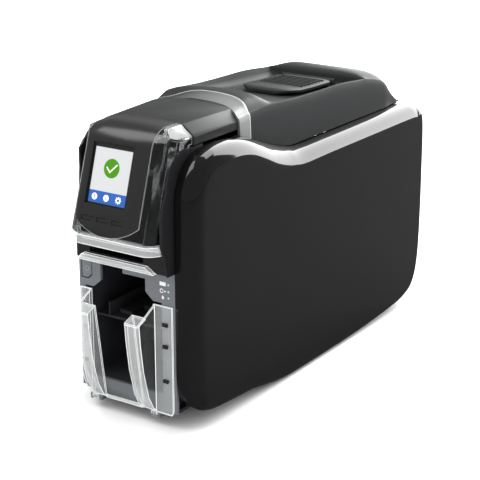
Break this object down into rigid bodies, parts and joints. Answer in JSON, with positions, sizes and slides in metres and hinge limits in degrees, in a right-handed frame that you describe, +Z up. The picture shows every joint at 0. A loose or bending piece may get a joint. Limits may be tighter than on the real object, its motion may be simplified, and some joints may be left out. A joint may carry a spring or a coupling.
{
  "type": "id card printer",
  "caption": "Desktop ID card printer: glossy pillowed side covers, hinged charcoal lid with ribbed latch, tilted colour screen and clear tip-out card hopper guard.",
  "frame": {"origin": "centre of the bounding box's underside, on the table under the feet", "axes": "+Z up, the screen and hopper face -Y, +X to the viewer's right"},
  "size_m": [0.158, 0.437, 0.268],
  "materials": {
    "cover_black": "piano gloss",
    "charcoal": "fine satin grain",
    "inner_black": "matte moulded",
    "steel": "zinc plated sheet",
    "bright_steel": "ground bar",
    "rubber": "matte",
    "smoked": "translucent smoked grey",
    "clear": "clear moulded acrylic",
    "panel_gloss": "dark gloss",
    "screen": "lit display",
    "light": "light pipe",
    "board": "solder mask",
    "motor": "black enamel",
    "gear_plastic": "natural acetal",
    "brass": "cut brass",
    "ribbon": "thin film",
    "spool_blue": "moulded core",
    "head_metal": "anodised",
    "arm_steel": "black coated"
  },
  "bodies": {
    "printer": {"base_tray": "inner_black", "left_frame": "steel", "right_frame": "steel", "tie_bars": "bright_steel", "left_cover": "cover_black", "right_cover": "cover_black", "rear_panel": "inner_black", "rubber_feet": "rubber", "front_frame": "cover_black", "front_bezel": "smoked", "status_lights": "light", "hopper_liner": "inner_black", "card_slot_ledge": "clear", "top_cap": "charcoal", "clear_hood": "clear", "hood_lip": "clear", "face_panel": "panel_gloss", "display_module": "screen", "main_board": "board", "power_supply": "steel", "power_socket": "inner_black", "usb_socket": "bright_steel", "network_socket": "bright_steel", "fan_frame": "inner_black", "feed_motor": "motor", "ribbon_motor": "motor", "flipper_motor": "motor", "drive_belt": "rubber", "ribbon_film": "ribbon", "lid_hinge_pins": "bright_steel", "guard_pins": "bright_steel"},
    "lid": {"lid": "charcoal", "lid_hinge_arms": "arm_steel", "latch_base": "charcoal", "latch_hook": "steel"},
    "latch": {"latch_paddle": "charcoal"},
    "hopper_guard": {"hopper_guard": "clear"},
    "power_button": {"power_button": "smoked"},
    "left_button": {"left_button": "panel_gloss"},
    "middle_button": {"middle_button": "panel_gloss"},
    "right_button": {"right_button": "panel_gloss"},
    "pick_drive": {"pick_roller": "rubber", "pick_shaft": "bright_steel"},
    "feed_drive": {"feed_roller": "rubber", "feed_shaft": "bright_steel"},
    "platen_drive": {"platen_roller": "rubber", "platen_shaft": "bright_steel", "platen_gear": "gear_plastic"},
    "feed_pinion": {"feed_pinion": "brass"},
    "ribbon_pinion": {"ribbon_pinion": "brass"},
    "flipper_pinion": {"flipper_pinion": "brass"},
    "supply_spool": {"supply_spool": "spool_blue"},
    "takeup_spool": {"takeup_spool": "spool_blue"},
    "flipper": {"flipper_carriage": "inner_black", "flipper_gear": "gear_plastic"},
    "print_head": {"print_head": "head_metal", "head_arm": "steel"},
    "card_weight": {"card_weight": "inner_black"},
    "reject_bin": {"reject_bin": "inner_black"},
    "fan_rotor": {"fan_rotor": "inner_black"}
  },
  "joints": [
    {"name": "lid_hinge", "type": "hinge", "parent": "printer", "child": "lid", "pos_m": [0, 0.204, 0.211], "axis": [-1, 0, 0], "range_deg": [0, 75]},
    {"name": "latch_pivot", "type": "hinge", "parent": "lid", "child": "latch", "pos_m": [0, 0.112, 0.2505], "axis": [-1, 0, 0], "range_deg": [0, 20], "stiffness_Nm_per_rad": 0.05},
    {"name": "guard_tilt", "type": "hinge", "parent": "printer", "child": "hopper_guard", "pos_m": [0, -0.1914, 0.01], "axis": [1, 0, 0], "range_deg": [0, 30]},
    {"name": "power_press", "type": "slide", "parent": "printer", "child": "power_button", "axis": [0, 1, 0], "range_m": [0, 0.0012], "stiffness_N_per_m": 300},
    {"name": "left_press", "type": "slide", "parent": "printer", "child": "left_button", "axis": [0, 0.9553, -0.2957], "range_m": [0, 0.0008], "stiffness_N_per_m": 250},
    {"name": "middle_press", "type": "slide", "parent": "printer", "child": "middle_button", "axis": [0, 0.9553, -0.2957], "range_m": [0, 0.0008], "stiffness_N_per_m": 250},
    {"name": "right_press", "type": "slide", "parent": "printer", "child": "right_button", "axis": [0, 0.9553, -0.2957], "range_m": [0, 0.0008], "stiffness_N_per_m": 250},
    {"name": "platen_spin", "type": "hinge", "parent": "printer", "child": "platen_drive", "pos_m": [0, -0.02, 0.076], "axis": [1, 0, 0], "continuous": true},
    {"name": "feed_spin", "type": "hinge", "parent": "printer", "child": "feed_drive", "pos_m": [0, -0.084, 0.076], "axis": [1, 0, 0], "continuous": true},
    {"name": "pick_spin", "type": "hinge", "parent": "printer", "child": "pick_drive", "pos_m": [0, -0.112, 0.076], "axis": [1, 0, 0], "continuous": true},
    {"name": "feed_pinion_spin", "type": "hinge", "parent": "printer", "child": "feed_pinion", "pos_m": [0, -0.02, 0.048], "axis": [1, 0, 0], "continuous": true},
    {"name": "supply_spin", "type": "hinge", "parent": "printer", "child": "supply_spool", "pos_m": [0, 0.038, 0.15], "axis": [1, 0, 0], "continuous": true},
    {"name": "takeup_spin", "type": "hinge", "parent": "printer", "child": "takeup_spool", "pos_m": [0, -0.078, 0.152], "axis": [1, 0, 0], "continuous": true},
    {"name": "ribbon_pinion_spin", "type": "hinge", "parent": "printer", "child": "ribbon_pinion", "pos_m": [0, -0.078, 0.182], "axis": [1, 0, 0], "continuous": true},
    {"name": "flipper_spin", "type": "hinge", "parent": "printer", "child": "flipper", "pos_m": [0, 0.086, 0.0844], "axis": [1, 0, 0], "continuous": true},
    {"name": "flipper_pinion_spin", "type": "hinge", "parent": "printer", "child": "flipper_pinion", "pos_m": [0, 0.086, 0.1289], "axis": [1, 0, 0], "continuous": true},
    {"name": "head_lift", "type": "hinge", "parent": "printer", "child": "print_head", "pos_m": [0, 0.056, 0.124], "axis": [-1, 0, 0], "range_deg": [0, 8]},
    {"name": "weight_slide", "type": "slide", "parent": "printer", "child": "card_weight", "axis": [0, 0, 1], "range_m": [0, 0.04]},
    {"name": "bin_slide", "type": "slide", "parent": "printer", "child": "reject_bin", "axis": [0, 1, 0], "range_m": [0, 0.078]},
    {"name": "fan_spin", "type": "hinge", "parent": "printer", "child": "fan_rotor", "pos_m": [0, 0.2005, 0.152], "axis": [0, 1, 0], "continuous": true}
  ],
  "couplings": [
    {"joint": "feed_spin", "follows": "platen_spin", "ratio": 1},
    {"joint": "pick_spin", "follows": "platen_spin", "ratio": 1},
    {"joint": "feed_pinion_spin", "follows": "platen_spin", "ratio": -2.5},
    {"joint": "takeup_spin", "follows": "supply_spin", "ratio": 1.7143},
    {"joint": "ribbon_pinion_spin", "follows": "supply_spin", "ratio": -4.7143},
    {"joint": "flipper_pinion_spin", "follows": "flipper_spin", "ratio": -4.5625}
  ]
}
